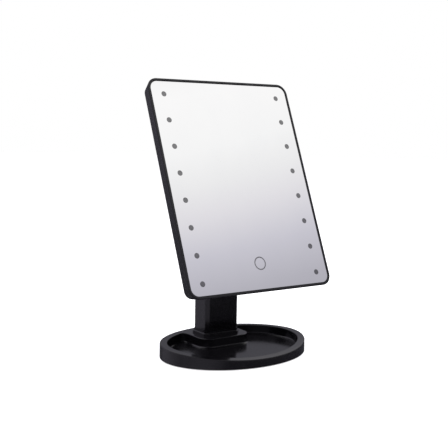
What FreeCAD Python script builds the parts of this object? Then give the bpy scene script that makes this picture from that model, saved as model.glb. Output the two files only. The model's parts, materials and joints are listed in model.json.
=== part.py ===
"""Lighted vanity mirror: a tilting mirror head on a battery column, standing in a tray base.

Frame: millimetres, +X to the user's right as they face the glass, +Y away from the user, +Z up.
The origin is the centre of the base, on the surface that it stands on.
Head pieces are drawn upright, with the frame's front edge at Y 0 and the glass centre at X 0, Z 0.
One shared placement then hangs them from the tilt axis at the resting lean.
"""
import FreeCAD, Part
import math
import os
import re

import Sketcher
from FreeCAD import Placement, Rotation, Vector

SIZES = {
    # Resting attitude of the head and its tilt axis
    "lean": 22.88,
    "pivot_height": 188.69,
    "pivot_setback": 31,
    "pivot_rise": 32.91,
    # Mirror head, front to back
    "head_width": 166.8,
    "head_height": 216.6,
    "head_corner": 11.05,
    "head_depth": 15.2,
    "side_draft": 0.25,
    "frame_depth": 6,
    "frame_wall": 2.85,
    "frame_rounding": 0.7,
    "cover_wall": 1.8,
    "cover_rounding": 2,
    "cover_margin": 5.6,
    "glass_setback": 0.6,
    "glass_thickness": 2,
    "glass_gap": 0.1,
    "coating_thickness": 0.1,
    "tape_thickness": 0.5,
    "tape_width": 3.5,
    "shelf_width": 7,
    "shelf_thickness": 1.2,
    "carrier_thickness": 1.2,
    "carrier_margin": 4,
    # Lamp windows: two columns of eight, and the touch ring below the middle
    "window_radius": 2.7,
    "window_across": 67.05,
    "window_top": 92.09,
    "window_pitch": 26.62,
    "diffuser_radius": 3.6,
    "diffuser_thickness": 0.2,
    "ring_across": 1.35,
    "ring_down": 80.15,
    "ring_radius": 6.6,
    "ring_line": 1,
    # Lamps and touch electronics
    "lamp_board_width": 8,
    "lamp_board_length": 193,
    "lamp_board_thickness": 0.8,
    "lamp_width": 2.8,
    "lamp_length": 3.5,
    "lamp_thickness": 0.65,
    "electrode_thickness": 0.1,
    "touch_board_width": 26,
    "touch_board_height": 17,
    "touch_board_thickness": 1,
    # Self-tapping case screws of the head
    "post_across": 75.4,
    "post_up": 100.25,
    "post_radius": 2.8,
    "pilot_radius": 0.9,
    "clear_radius": 1.25,
    "recess_radius": 2.3,
    "recess_depth": 1.6,
    "cover_screw_length": 9.8,
    # Tilt hinge
    "bracket_width": 36,
    "bracket_height": 44,
    "bracket_plate": 2.2,
    "bracket_recess": 1.3,
    "bracket_screw_across": 13,
    "bracket_screw_up": 16,
    "bracket_screw_radius": 1.5,
    "web_width": 17.4,
    "web_root": 28,
    "knuckle_radius": 8.5,
    "sleeve_wall": 1,
    "axle_radius": 3,
    "running_gap": 0.05,
    "backing_thickness": 1.2,
    "friction_washer": 0.9,
    "friction_radius": 7.5,
    "ear_web": 3,
    "ear_pocket_radius": 7,
    "fork_gap": 19.4,
    "fork_drop": 15,
    "wire_hole_radius": 1.8,
    # Column
    "column_y": 32.27,
    "column_width": 39.28,
    "column_depth": 26,
    "column_bevel": 3.3,
    "column_wall": 2,
    "panel_depth": 4.6,
    "seam": 0.15,
    "column_floor": 2.5,
    "fork_floor": 2,
    "collar_height": 4.6,
    "collar_flare": 1.8,
    "collar_lip": 2,
    # Battery bay and its cover
    "cell_radius": 7.1,
    "cell_length": 50.5,
    "nub_radius": 2.75,
    "nub_length": 1.3,
    "cell_spacing": 14.6,
    "cell_y": 35.6,
    "bay_bottom": 42,
    "bay_length": 108.8,
    "cradle_wall": 1.4,
    "spring_radius": 3.6,
    "spring_wire": 0.35,
    "spring_height": 7,
    "contact_thickness": 0.4,
    "cover_width": 30.5,
    "cover_bottom": 38.3,
    "cover_top": 155.7,
    "cover_plate": 1.8,
    "cover_gap": 0.3,
    "cover_pivot_inset": 1.68,
    "cover_pin_radius": 0.7,
    "cover_lug_radius": 1.3,
    "cover_lug_inset": 0.5,
    "cover_lug_width": 1.2,
    "cover_rib_width": 1.4,
    # Power inlet and switch on the back of the column
    "inlet_height": 27.6,
    "switch_height": 164.6,
    "switch_pin_front": 37.6,
    "switch_case_front": 39.6,
    "switch_case_width": 8.8,
    "switch_case_height": 4.6,
    "switch_case_wall": 0.5,
    "knob_slider_front": 41,
    "panel_screw_seat": 34,
    "panel_post_radius": 3.2,
    "switch_travel": 2,
    "knob_width": 3,
    "knob_height": 2.4,
    "power_board_thickness": 1.2,
    # Base
    "base_width": 156.6,
    "base_depth": 117.7,
    "base_lift": 0.8,
    "base_top": 14.5,
    "rim_front": 8.6,
    "rim_level_from": 10,
    "rim_width": 7.5,
    "rim_rounding": 0.8,
    "tray_floor": 5,
    "tray_thickness": 1.8,
    "floor_rounding": 2,
    "skirt_wall": 2.2,
    "island_half": 29,
    "island_front": 8.3,
    "island_back": 53,
    "island_corner": 13,
    "island_fillet": 6,
    "bottom_plate": 1.6,
    "foot_radius": 5,
    "foot_sink": 0.6,
    "foot_across": 34,
    "foot_along": 44.5,
    "base_screw_across": 61,
    "base_screw_along": 28.4,
    "column_screw_across": 12,
    "column_screw_along": 5.5,
}

doc = FreeCAD.newDocument("vanity_mirror")
sheet = doc.addObject("Spreadsheet::Sheet", "Sizes")
for row, (alias, number) in enumerate(SIZES.items(), start=1):
    sheet.set(f"A{row}", alias)
    sheet.set(f"B{row}", str(number))
    sheet.setAlias(f"B{row}", alias)
doc.recompute()

NODES = []


# ---------------------------------------------------------------- sizes and sketches

def bound(expression):
    """The expression with each alias written as a reference into the sheet."""
    return re.sub(r"[a-z][a-z_]*", lambda word: f"Sizes.{word.group()}", expression)


def size(expression):
    """The expression's value in millimetres, worked out from the sheet."""
    return float(sheet.evalExpression(bound(expression)))


def drive(sketch, kind, where, expression):
    """One dimension of a sketch, bound to the sheet."""
    index = sketch.addConstraint(Sketcher.Constraint(kind, *where, size(expression)))
    if re.search("[a-z]", expression):
        sketch.setExpression(f"Constraints[{index}]", bound(expression))


def pin_point(sketch, geometry, point, across, along):
    """Fixes one point of the sketch from the sketch's own origin."""
    for kind, axis, expression in (("DistanceX", -2, across), ("DistanceY", -1, along)):
        if expression == "0":
            sketch.addConstraint(Sketcher.Constraint("PointOnObject", geometry, point, axis))
        else:
            drive(sketch, kind, (-1, 1, geometry, point), expression)


def circle(radius, across="0", along="0"):
    def draw(sketch):
        centre = Vector(size(across), size(along), 0)
        index = sketch.addGeometry(Part.Circle(centre, Vector(0, 0, 1), size(radius)))
        drive(sketch, "Radius", (index,), radius)
        pin_point(sketch, index, 3, across, along)
    return draw


def polygon(points):
    def draw(sketch):
        corners = [Vector(size(across), size(along), 0) for across, along in points]
        first = sketch.GeometryCount
        count = len(points)
        for number in range(count):
            sketch.addGeometry(Part.LineSegment(corners[number], corners[(number + 1) % count]))
        for number, (across, along) in enumerate(points):
            follower = first + (number + 1) % count
            sketch.addConstraint(Sketcher.Constraint("Coincident", first + number, 2, follower, 1))
            pin_point(sketch, first + number, 1, across, along)
    return draw


def box(width, height, across="0", along="0"):
    signs = ((-1, -1), (1, -1), (1, 1), (-1, 1))
    return polygon([(f"{across} + {sx} * ({width}) / 2", f"{along} + {sy} * ({height}) / 2")
                    for sx, sy in signs])


def span(left, right, low, high):
    return polygon([(left, low), (right, low), (right, high), (left, high)])


def bevelled_box(width, height, bevel, across="0", along="0"):
    corners = []
    for sx, sy, long_first in ((1, -1, 0), (1, 1, 1), (-1, 1, 0), (-1, -1, 1)):
        short = (f"{across} + {sx} * (({width}) / 2 - ({bevel}))",
                 f"{along} + {sy} * ({height}) / 2")
        tall = (f"{across} + {sx} * ({width}) / 2",
                f"{along} + {sy} * (({height}) / 2 - ({bevel}))")
        corners += [tall, short] if long_first else [short, tall]
    return polygon(corners)


def rounded_box(width, height, corner, across="0", along="0"):
    def draw(sketch):
        first = sketch.GeometryCount
        radius = size(corner)
        arcs = []
        for number, (sx, sy) in enumerate(((1, 1), (-1, 1), (-1, -1), (1, -1))):
            centre_x = f"{across} + {sx} * (({width}) / 2 - ({corner}))"
            centre_y = f"{along} + {sy} * (({height}) / 2 - ({corner}))"
            ring = Part.Circle(Vector(size(centre_x), size(centre_y), 0), Vector(0, 0, 1), radius)
            quarter = number * math.pi / 2
            arcs.append(Part.ArcOfCircle(ring, quarter, quarter + math.pi / 2))
            sketch.addGeometry(arcs[-1])
            drive(sketch, "Radius", (first + number,), corner)
            pin_point(sketch, first + number, 3, centre_x, centre_y)
        for number in range(4):
            following = (number + 1) % 4
            side = sketch.addGeometry(
                Part.LineSegment(arcs[number].EndPoint, arcs[following].StartPoint))
            sketch.addConstraint(Sketcher.Constraint("Tangent", first + number, 2, side, 1))
            sketch.addConstraint(Sketcher.Constraint("Tangent", side, 2, first + following, 1))
    return draw


def ellipse(width, depth):
    def draw(sketch):
        major = Vector(size(f"({width}) / 2"), 0, 0)
        minor = Vector(0, size(f"({depth}) / 2"), 0)
        index = sketch.addGeometry(Part.Ellipse(major, minor, Vector(0, 0, 0)))
        sketch.exposeInternalGeometry(index)
        sketch.addConstraint(Sketcher.Constraint("Coincident", index, 3, -1, 1))
        sketch.addConstraint(Sketcher.Constraint("Horizontal", index + 1))
        drive(sketch, "Distance", (index + 1,), width)
        drive(sketch, "Distance", (index + 2,), depth)
    return draw


# ---------------------------------------------------------------- features

def new_body(name):
    body = doc.addObject("PartDesign::Body", name)
    body.AllowCompound = True
    return body


def sketch_on(body, name, plane, offset, outlines):
    """A sketch parallel to one of the body's own origin planes."""
    sketch = body.newObject("Sketcher::SketchObject", name + "_sketch")
    for feature in body.Origin.OriginFeatures:
        if feature.Role == plane + "_Plane":
            sketch.AttachmentSupport = [(feature, "")]
    sketch.MapMode = "FlatFace"
    sketch.setExpression("AttachmentOffset.Base.z", bound(offset))
    for outline in outlines:
        outline(sketch)
    return sketch


def prism(body, kind, name, plane, low, high, outlines):
    """A pad or pocket of the outlines between two heights along the plane's row axis.

    The XZ plane faces -Y, so its offsets are negated. A pocket cuts against its sketch's normal.
    """
    starts_low = (kind == "Pad") == (plane != "XZ")
    start = low if starts_low else high
    offset = f"-({start})" if plane == "XZ" else start
    sketch = sketch_on(body, name, plane, offset, outlines)
    feature = body.newObject("PartDesign::" + kind, name)
    feature.Profile = sketch
    feature.Type = "Length"
    feature.setExpression("Length", bound(f"({high}) - ({low})"))
    return feature


def add(body, name, plane, low, high, *outlines):
    return prism(body, "Pad", name, plane, low, high, outlines)


def cut(body, name, plane, low, high, *outlines):
    return prism(body, "Pocket", name, plane, low, high, outlines)


def turn(body, name, points):
    """A solid of revolution about Z from a half section of radius and height."""
    sketch = sketch_on(body, name, "XZ", "0", [polygon(points)])
    feature = body.newObject("PartDesign::Revolution", name)
    feature.Profile = sketch
    feature.ReferenceAxis = (sketch, ["V_Axis"])
    feature.Angle = 360
    return feature


def dress(body, kind, name, amount, wanted):
    """A fillet or chamfer on every edge of the body for which wanted(edge) is true."""
    doc.recompute()
    base = body.Tip
    edges = [f"Edge{number}" for number, edge in enumerate(base.Shape.Edges, start=1) if wanted(edge)]
    if not edges:
        raise RuntimeError(f"{name}: no edge to dress")
    feature = body.newObject("PartDesign::" + kind, name)
    feature.Base = (base, edges)
    feature.setExpression("Radius" if kind == "Fillet" else "Size", bound(amount))
    return feature


def sample(edge, count=5):
    first, last = edge.ParameterRange
    return [edge.valueAt(first + (last - first) * step / (count - 1)) for step in range(count)]


def lies_at(axis, expression, slack=0.01):
    """Edges that lie wholly in one plane square to an axis."""
    place = size(expression)
    return lambda edge: all(abs(getattr(point, axis) - place) < slack for point in sample(edge))


def runs_along(axis):
    """Straight edges parallel to an axis."""
    others = [name for name in "xyz" if name != axis]

    def test(edge):
        start, end = sample(edge, 2)
        return (all(abs(getattr(start, name) - getattr(end, name)) < 0.01 for name in others)
                and abs(getattr(start, axis) - getattr(end, axis)) > 0.1)
    return test


def head_placement():
    """Hangs the upright head from the tilt axis, leaning back."""
    rotation = Rotation(Vector(1, 0, 0), -size("lean"))
    arm = rotation.multVec(Vector(0, size("pivot_setback"), size("pivot_rise")))
    return Placement(Vector(0, size("column_y"), size("pivot_height")) - arm, rotation)


def node(part, on_head=False):
    """Registers a finished sub-part under its own label."""
    part.Label = part.Name
    if on_head:
        part.Placement = head_placement()
    NODES.append(part)
    return part


def copies(name, master, placements, on_head=False):
    """A group of identical separate solids, each a placed copy of the master body."""
    doc.recompute()
    group = doc.addObject("Part::Feature", name)
    solids = []
    for place in placements:
        solid = master.Shape.copy()
        solid.Placement = place
        solids.append(solid)
    group.Shape = Part.makeCompound(solids)
    return node(group, on_head)


def solid_feature(name, shapes, on_head=False):
    group = doc.addObject("Part::Feature", name)
    group.Shape = Part.makeCompound(shapes) if len(shapes) > 1 else shapes[0]
    return node(group, on_head)


def tube(points, radius, bend):
    """A wire of round section: straight runs joined by tangent arcs."""
    corners = [Vector(*point) for point in points]
    edges = []
    start = corners[0]
    for before, corner, after in zip(corners, corners[1:], corners[2:]):
        back = (before - corner).normalize()
        ahead = (after - corner).normalize()
        half_angle = back.getAngle(ahead) / 2
        reach = bend / math.tan(half_angle)
        middle = (back + ahead).normalize()
        arc_start = corner + back * reach
        arc_end = corner + ahead * reach
        arc_middle = corner + middle * (bend / math.sin(half_angle) - bend)
        edges.append(Part.LineSegment(start, arc_start).toShape())
        edges.append(Part.Arc(arc_start, arc_middle, arc_end).toShape())
        start = arc_end
    edges.append(Part.LineSegment(start, corners[-1]).toShape())
    path = Part.Wire(edges)
    section = Part.Wire(Part.makeCircle(radius, corners[0], corners[1] - corners[0]))
    solid = path.makePipeShell([section], True, True)
    expected = math.pi * radius ** 2 * path.Length
    if abs(solid.Volume / expected - 1) > 0.02:
        raise RuntimeError(f"tube volume {solid.Volume} against {expected}")
    return solid


# ---------------------------------------------------------------- screws

def screw(name, shank, length, head_radius, head_height="1.2"):
    """A cross-head screw along Z, pointing down, with the underside of its head at Z 0."""
    body = new_body(name)
    tip = f"-({length})"
    turn(body, name + "_turned", [
        ("0", tip), (f"({shank}) / 3", tip), (shank, f"{tip} + ({shank})"), (shank, "0"),
        (head_radius, "0"), (head_radius, f"{head_height} - 0.4"),
        (f"{head_radius} - 0.4", head_height), ("0", head_height)])
    slot_length = f"({head_radius}) * 1.3"
    for label, wide, deep in (("a", slot_length, "0.5"), ("b", "0.5", slot_length)):
        cut(body, f"{name}_slot_{label}", "XY", f"{head_height} - 0.7", head_height,
            box(wide, deep))
    return body


# ---------------------------------------------------------------- mirror head

GLASS_BACK = "glass_setback + glass_thickness"
COATING_BACK = f"{GLASS_BACK} + coating_thickness"
SHELF_FRONT = f"{COATING_BACK} + tape_thickness"
SHELF_BACK = f"{SHELF_FRONT} + shelf_thickness"
CARRIER_BACK = f"{SHELF_BACK} + carrier_thickness"
COVER_INSIDE = "head_depth - cover_wall"
HEAD_OUTLINE = ("head_width", "head_height", "head_corner")
GLASS_OUTLINE = ("head_width - 2 * frame_wall - 2 * glass_gap",
                 "head_height - 2 * frame_wall - 2 * glass_gap",
                 "head_corner - frame_wall - glass_gap")
WINDOW_ROWS = range(8)
POSTS = [(f"{sx} * post_across", f"{sy} * post_up") for sy in (-1, 0, 1) for sx in (-1, 1)]


def inset_outline(inset):
    """The head's outline drawn in by a distance."""
    return rounded_box(f"head_width - 2 * ({inset})", f"head_height - 2 * ({inset})",
                       f"head_corner - ({inset})")


def add_tapered(body, name, low, high):
    """A slice of the head between two depths, its side walls sloping in towards the back."""
    pad = add(body, name, "XZ", low, high, inset_outline(f"side_draft * ({high})"))
    pad.setExpression("TaperAngle", "atan(Sizes.side_draft)")


def windows(radius, sides=(-1, 1)):
    return [circle(radius, f"{side} * window_across", f"window_top - {row} * window_pitch")
            for side in sides for row in WINDOW_ROWS]


def front_frame():
    body = new_body("front_frame")
    add_tapered(body, "frame_rim", "0", "frame_depth")
    cut(body, "frame_opening", "XZ", "0", "frame_depth", inset_outline("frame_wall"))
    add(body, "frame_shelf", "XZ", SHELF_FRONT, SHELF_BACK, inset_outline("frame_wall - 0.1"))
    cut(body, "frame_window", "XZ", SHELF_FRONT, SHELF_BACK,
        rounded_box("head_width - 2 * frame_wall - 2 * shelf_width",
                    "head_height - 2 * frame_wall - 2 * shelf_width", "4"))
    add(body, "frame_posts", "XZ", SHELF_FRONT, "frame_depth + 0.1",
        *[circle("post_radius", across, up) for across, up in POSTS])
    cut(body, "frame_pilots", "XZ", f"{SHELF_FRONT} + 0.5", "frame_depth + 0.1",
        *[circle("pilot_radius", across, up) for across, up in POSTS])
    dress(body, "Fillet", "frame_edge", "frame_rounding", lies_at("y", "0"))
    node(body, on_head=True)


def mirror_glass():
    body = new_body("mirror_glass")
    add(body, "glass_sheet", "XZ", "glass_setback", GLASS_BACK, rounded_box(*GLASS_OUTLINE))
    dress(body, "Chamfer", "glass_arris", "0.25", lies_at("y", "glass_setback"))
    node(body, on_head=True)


def mirror_coating():
    """The silvering and its backing paint, cleared at each lamp window and along the touch ring."""
    body = new_body("mirror_coating")
    add(body, "silvering", "XZ", GLASS_BACK, COATING_BACK, rounded_box(*GLASS_OUTLINE))
    cut(body, "silvering_windows", "XZ", GLASS_BACK, COATING_BACK, *windows("window_radius"))
    cut(body, "silvering_ring", "XZ", GLASS_BACK, COATING_BACK,
        circle("ring_radius", "ring_across", "-ring_down"),
        circle("ring_radius - ring_line", "ring_across", "-ring_down"))
    node(body, on_head=True)


def glass_tape():
    body = new_body("glass_tape")
    add(body, "tape_loop", "XZ", COATING_BACK, SHELF_FRONT,
        inset_outline("frame_wall + 1.2"), inset_outline("frame_wall + 1.2 + tape_width"))
    node(body, on_head=True)


def window_diffusers():
    body = new_body("window_diffusers")
    add(body, "diffuser_discs", "XZ", COATING_BACK, f"{COATING_BACK} + diffuser_thickness",
        *windows("diffuser_radius"))
    node(body, on_head=True)


def lamp_boards():
    for side, label in ((-1, "left"), (1, "right")):
        body = new_body(f"led_board_{label}")
        middle = "window_top - 3.5 * window_pitch"
        add(body, f"board_{label}", "XZ", f"{SHELF_BACK} - lamp_board_thickness", SHELF_BACK,
            box("lamp_board_width", "lamp_board_length", f"{side} * window_across", middle))
        node(body, on_head=True)
        lamps = new_body(f"leds_{label}")
        back = f"{SHELF_BACK} - lamp_board_thickness"
        add(lamps, f"lamps_{label}", "XZ", f"{back} - lamp_thickness", back,
            *[box("lamp_width", "lamp_length", f"{side} * window_across",
                  f"window_top - {row} * window_pitch") for row in WINDOW_ROWS])
        node(lamps, on_head=True)


def led_carrier_plate():
    """The inner plate behind the shelf, which carries both lamp boards."""
    body = new_body("led_carrier_plate")
    add(body, "carrier_sheet", "XZ", SHELF_BACK, CARRIER_BACK, inset_outline("carrier_margin"))
    cut(body, "carrier_posts", "XZ", SHELF_BACK, CARRIER_BACK,
        *[circle("post_radius + 0.3", across, up) for across, up in POSTS])
    cut(body, "carrier_window", "XZ", SHELF_BACK, CARRIER_BACK,
        box("touch_board_width + 6", "touch_board_height + 6", "0", "-ring_down"))
    node(body, on_head=True)


def touch_parts():
    """The touch pad behind the ring, its board, and the parts soldered to the board."""
    board_front = f"{COATING_BACK} + electrode_thickness"
    board_back = f"{board_front} + touch_board_thickness"
    electrode = new_body("touch_electrode")
    add(electrode, "electrode_disc", "XZ", COATING_BACK, board_front,
        circle("ring_radius - ring_line - 0.4", "ring_across", "-ring_down"))
    node(electrode, on_head=True)
    board = new_body("touch_board")
    add(board, "touch_laminate", "XZ", board_front, board_back,
        rounded_box("touch_board_width", "touch_board_height", "1", "0", "-ring_down"))
    node(board, on_head=True)
    chips = new_body("touch_board_chips")
    add(chips, "low_chips", "XZ", board_back, f"{board_back} + 1.1",
        box("5", "4", "-4", "1 - ring_down"), box("3", "2.6", "4", "2 - ring_down"),
        box("2", "1.2", "4", "-3 - ring_down"), box("2", "1.2", "0.5", "-5 - ring_down"))
    add(chips, "wire_header", "XZ", board_back, f"{board_back} + 3",
        box("3", "6", "9.5", "-ring_down"))
    node(chips, on_head=True)


def rear_cover():
    body = new_body("rear_cover")
    add_tapered(body, "cover_block", "frame_depth + seam", "head_depth")
    dress(body, "Fillet", "cover_edge", "cover_rounding", lies_at("y", "head_depth"))
    cut(body, "cover_hollow", "XZ", "frame_depth + seam", COVER_INSIDE,
        inset_outline("cover_margin"))
    add(body, "cover_lip", "XZ", "frame_depth - 1", "frame_depth + seam + 0.5",
        inset_outline("frame_wall + 0.15"), inset_outline("frame_wall + 1.15"))
    add(body, "cover_posts", "XZ", "frame_depth + seam", COVER_INSIDE,
        *[circle("post_radius", across, up) for across, up in POSTS])
    cut(body, "cover_clearances", "XZ", "frame_depth - 1", "head_depth",
        *[circle("clear_radius", across, up) for across, up in POSTS])
    cut(body, "cover_recesses", "XZ", "head_depth - recess_depth", "head_depth",
        *[circle("recess_radius", across, up) for across, up in POSTS])
    cut(body, "cover_bracket_holes", "XZ", COVER_INSIDE, "head_depth", *bracket_holes("0.1"))
    cut(body, "cover_wire_hole", "XZ", COVER_INSIDE, "head_depth", bracket_wire_hole())
    node(body, on_head=True)


def bracket_holes(extra="0"):
    return [circle(f"bracket_screw_radius + {extra}", f"{sx} * bracket_screw_across",
                   f"pivot_rise + {sy} * bracket_screw_up") for sy in (-1, 1) for sx in (-1, 1)]


def bracket_wire_hole():
    return circle("wire_hole_radius", "0", "pivot_rise - bracket_height / 2 + 3.4")


def rear_cover_screws():
    master = screw("cover_screw", "pilot_radius", "cover_screw_length", "recess_radius - 0.3")
    forward = Rotation(Vector(1, 0, 0), -90)
    seat = size("head_depth - recess_depth")
    places = [Placement(Vector(size(across), seat, size(up)), forward) for across, up in POSTS]
    copies("rear_cover_screws", master, places, on_head=True)


def hinge_bracket():
    """The plate on the head's back, with a web out to the knuckle between the fork's ears."""
    body = new_body("hinge_bracket")
    plate_back = "head_depth + bracket_plate"
    add(body, "bracket_foot", "XZ", "head_depth", plate_back,
        rounded_box("bracket_width", "bracket_height", "5", "0", "pivot_rise"))
    add(body, "bracket_web", "YZ", "-web_width / 2", "web_width / 2", polygon([
        (f"{plate_back} - 0.5", "pivot_rise - web_root / 2"),
        ("pivot_setback", "pivot_rise - knuckle_radius"),
        ("pivot_setback", "pivot_rise + knuckle_radius"),
        (f"{plate_back} - 0.5", "pivot_rise + web_root / 2")]))
    add(body, "bracket_knuckle", "YZ", "-web_width / 2", "web_width / 2",
        circle("knuckle_radius", "pivot_setback", "pivot_rise"))
    cut(body, "bracket_screw_holes", "XZ", "head_depth", plate_back, *bracket_holes("0.1"))
    cut(body, "bracket_recesses", "XZ", f"{plate_back} - bracket_recess", plate_back,
        *bracket_holes("1.4"))
    cut(body, "bracket_wire_slot", "XZ", "head_depth", plate_back, bracket_wire_hole())
    dress(body, "Fillet", "bracket_web_edges", "0.8", web_side_edge)
    cut(body, "bracket_bore", "YZ", "-web_width / 2", "web_width / 2",
        circle("axle_radius + running_gap + sleeve_wall", "pivot_setback", "pivot_rise"))
    node(body, on_head=True)


def web_side_edge(edge):
    """The outer edges of the web and knuckle, on both flat sides."""
    points = sample(edge)
    on_side = all(abs(abs(point.x) - size("web_width / 2")) < 0.01 for point in points)
    clear_of_plate = max(point.y for point in points) > size("head_depth + bracket_plate") + 0.5
    return on_side and clear_of_plate


def hinge_sleeve():
    body = new_body("hinge_sleeve")
    add(body, "sleeve_ring", "YZ", "-web_width / 2", "web_width / 2",
        circle("axle_radius + running_gap + sleeve_wall", "pivot_setback", "pivot_rise"),
        circle("axle_radius + running_gap", "pivot_setback", "pivot_rise"))
    node(body, on_head=True)


def hinge_backing_plate():
    """The steel plate inside the cover that the bracket's screws thread into."""
    body = new_body("hinge_backing_plate")
    front = f"{COVER_INSIDE} - backing_thickness"
    add(body, "backing_sheet", "XZ", front, COVER_INSIDE,
        rounded_box("bracket_width + 4", "bracket_height + 4", "4", "0", "pivot_rise"))
    cut(body, "backing_holes", "XZ", front, COVER_INSIDE, *bracket_holes())
    cut(body, "backing_wire_hole", "XZ", front, COVER_INSIDE, bracket_wire_hole())
    node(body, on_head=True)


def hinge_bracket_screws():
    master = screw("bracket_screw", "bracket_screw_radius", "5.6", "2.7")
    forward = Rotation(Vector(1, 0, 0), -90)
    seat = size("head_depth + bracket_plate - bracket_recess")
    places = []
    for sy in (-1, 1):
        for sx in (-1, 1):
            up = size(f"pivot_rise + {sy} * bracket_screw_up")
            places.append(Placement(Vector(sx * size("bracket_screw_across"), seat, up), forward))
    copies("hinge_bracket_screws", master, places, on_head=True)


def head_wiring():
    """Lead pairs from the touch board to each lamp board, and the supply pair to the hinge."""
    radius, bend = 0.5, 2.5
    layer = size(CARRIER_BACK) + 0.7
    header = -size("ring_down")
    lamp_x = size("window_across") - 6
    hole_z = size("pivot_rise - bracket_height / 2") + 3.4
    wires = []
    for offset in (0, 1.4):
        right_z = header + 0.8 + offset
        left_z = header - 0.8 - offset
        wires.append(tube([(11, layer, right_z), (22, layer, right_z), (lamp_x - 8, layer, right_z + 9),
                           (lamp_x + offset, layer, right_z + 26)], radius, bend))
        wires.append(tube([(8, layer, left_z), (-22, layer, left_z), (8 - lamp_x, layer, left_z + 9),
                           (-lamp_x - offset, layer, left_z + 26)], radius, bend))
        supply_x = offset - 0.7
        wires.append(tube([(8.8 + offset, layer, header + 3), (8.8 + offset, layer, header + 28),
                           (supply_x, layer, header + 56), (supply_x, layer, hole_z),
                           (supply_x, size("head_depth"), hole_z)], radius, bend))
    solid_feature("head_wiring", wires, on_head=True)


# ---------------------------------------------------------------- column

COLUMN_FRONT = "column_y - column_depth / 2"
COLUMN_BACK = "column_y + column_depth / 2"
PANEL_BACK = f"{COLUMN_FRONT} + panel_depth"
INNER_BEVEL = "column_bevel - 0.586 * column_wall"
FORK_FLOOR = "pivot_height - fork_drop"
FORK_UNDERSIDE = f"{FORK_FLOOR} - fork_floor"
COLUMN_TOP = "pivot_height + column_depth / 2"
EAR_INSIDE = "fork_gap / 2"
EAR_SEAT = f"{EAR_INSIDE} + ear_web"
COVER_INSIDE_Y = f"{COLUMN_BACK} - cover_plate"
COVER_PIVOT_Y = f"{COLUMN_BACK} - cover_pivot_inset"
COVER_PIVOT_Z = "cover_bottom + cover_pivot_inset"
PANEL_SCREW_HEIGHTS = ("33.6", "158.4")
COLUMN_SCREWS = [(f"{sx} * column_screw_across", f"column_y + 2.7 + {sy} * column_screw_along")
                 for sy in (-1, 1) for sx in (-1, 1)]


def half_section(width, bevel, far_y, near_y, sign):
    """One bevelled half of the column's section, open towards near_y."""
    side = f"({width}) / 2"
    return polygon([(f"-{side}", near_y), (side, near_y),
                    (side, f"{far_y} - {sign} * ({bevel})"), (f"{side} - ({bevel})", far_y),
                    (f"-{side} + ({bevel})", far_y), (f"-{side}", f"{far_y} - {sign} * ({bevel})")])


def arch_over(radius, reach, across, along):
    """The space above a half-round top, out to a distance of reach each way."""
    def draw(sketch):
        points = [(f"{across} + {radius}", along), (f"{across} - {radius}", along),
                  (f"{across} - ({reach})", along), (f"{across} - ({reach})", f"{along} + {reach}"),
                  (f"{across} + {reach}", f"{along} + {reach}"), (f"{across} + {reach}", along)]
        arc_outline(sketch, points, along, clockwise=False)
    return draw


def arc_outline(sketch, points, centre_along, clockwise):
    """A closed outline of lines whose first segment is an arc with its centre at a given height."""
    corners = [Vector(size(across), size(along), 0) for across, along in points]
    start, end = corners[:2]
    height = size(centre_along)
    across = start.x + (end - start).x / 2
    if abs(end.y - start.y) > 1e-6:
        across = ((end.x ** 2 - start.x ** 2 + (end.y - height) ** 2 - (start.y - height) ** 2)
                  / (2 * (end.x - start.x)))
    centre = Vector(across, height, 0)
    ring = Part.Circle(centre, Vector(0, 0, 1), (start - centre).Length)
    first, last = (end, start) if clockwise else (start, end)
    angles = [math.atan2(point.y - centre.y, point.x - centre.x) for point in (first, last)]
    arc = sketch.addGeometry(Part.ArcOfCircle(ring, *angles))
    lines = [sketch.addGeometry(Part.LineSegment(corners[number], corners[(number + 1) % len(points)]))
             for number in range(1, len(points))]
    for number, line in enumerate(lines, start=1):
        pin_point(sketch, line, 1, *points[number])
        if line != lines[-1]:
            sketch.addConstraint(Sketcher.Constraint("Coincident", line, 2, line + 1, 1))
    pin_point(sketch, lines[-1], 2, *points[0])
    arc_start, arc_end = (2, 1) if clockwise else (1, 2)
    sketch.addConstraint(Sketcher.Constraint("Coincident", arc, arc_start, lines[-1], 2))
    sketch.addConstraint(Sketcher.Constraint("Coincident", arc, arc_end, lines[0], 1))
    drive(sketch, "DistanceY", (-1, 1, arc, 3), centre_along)


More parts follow.
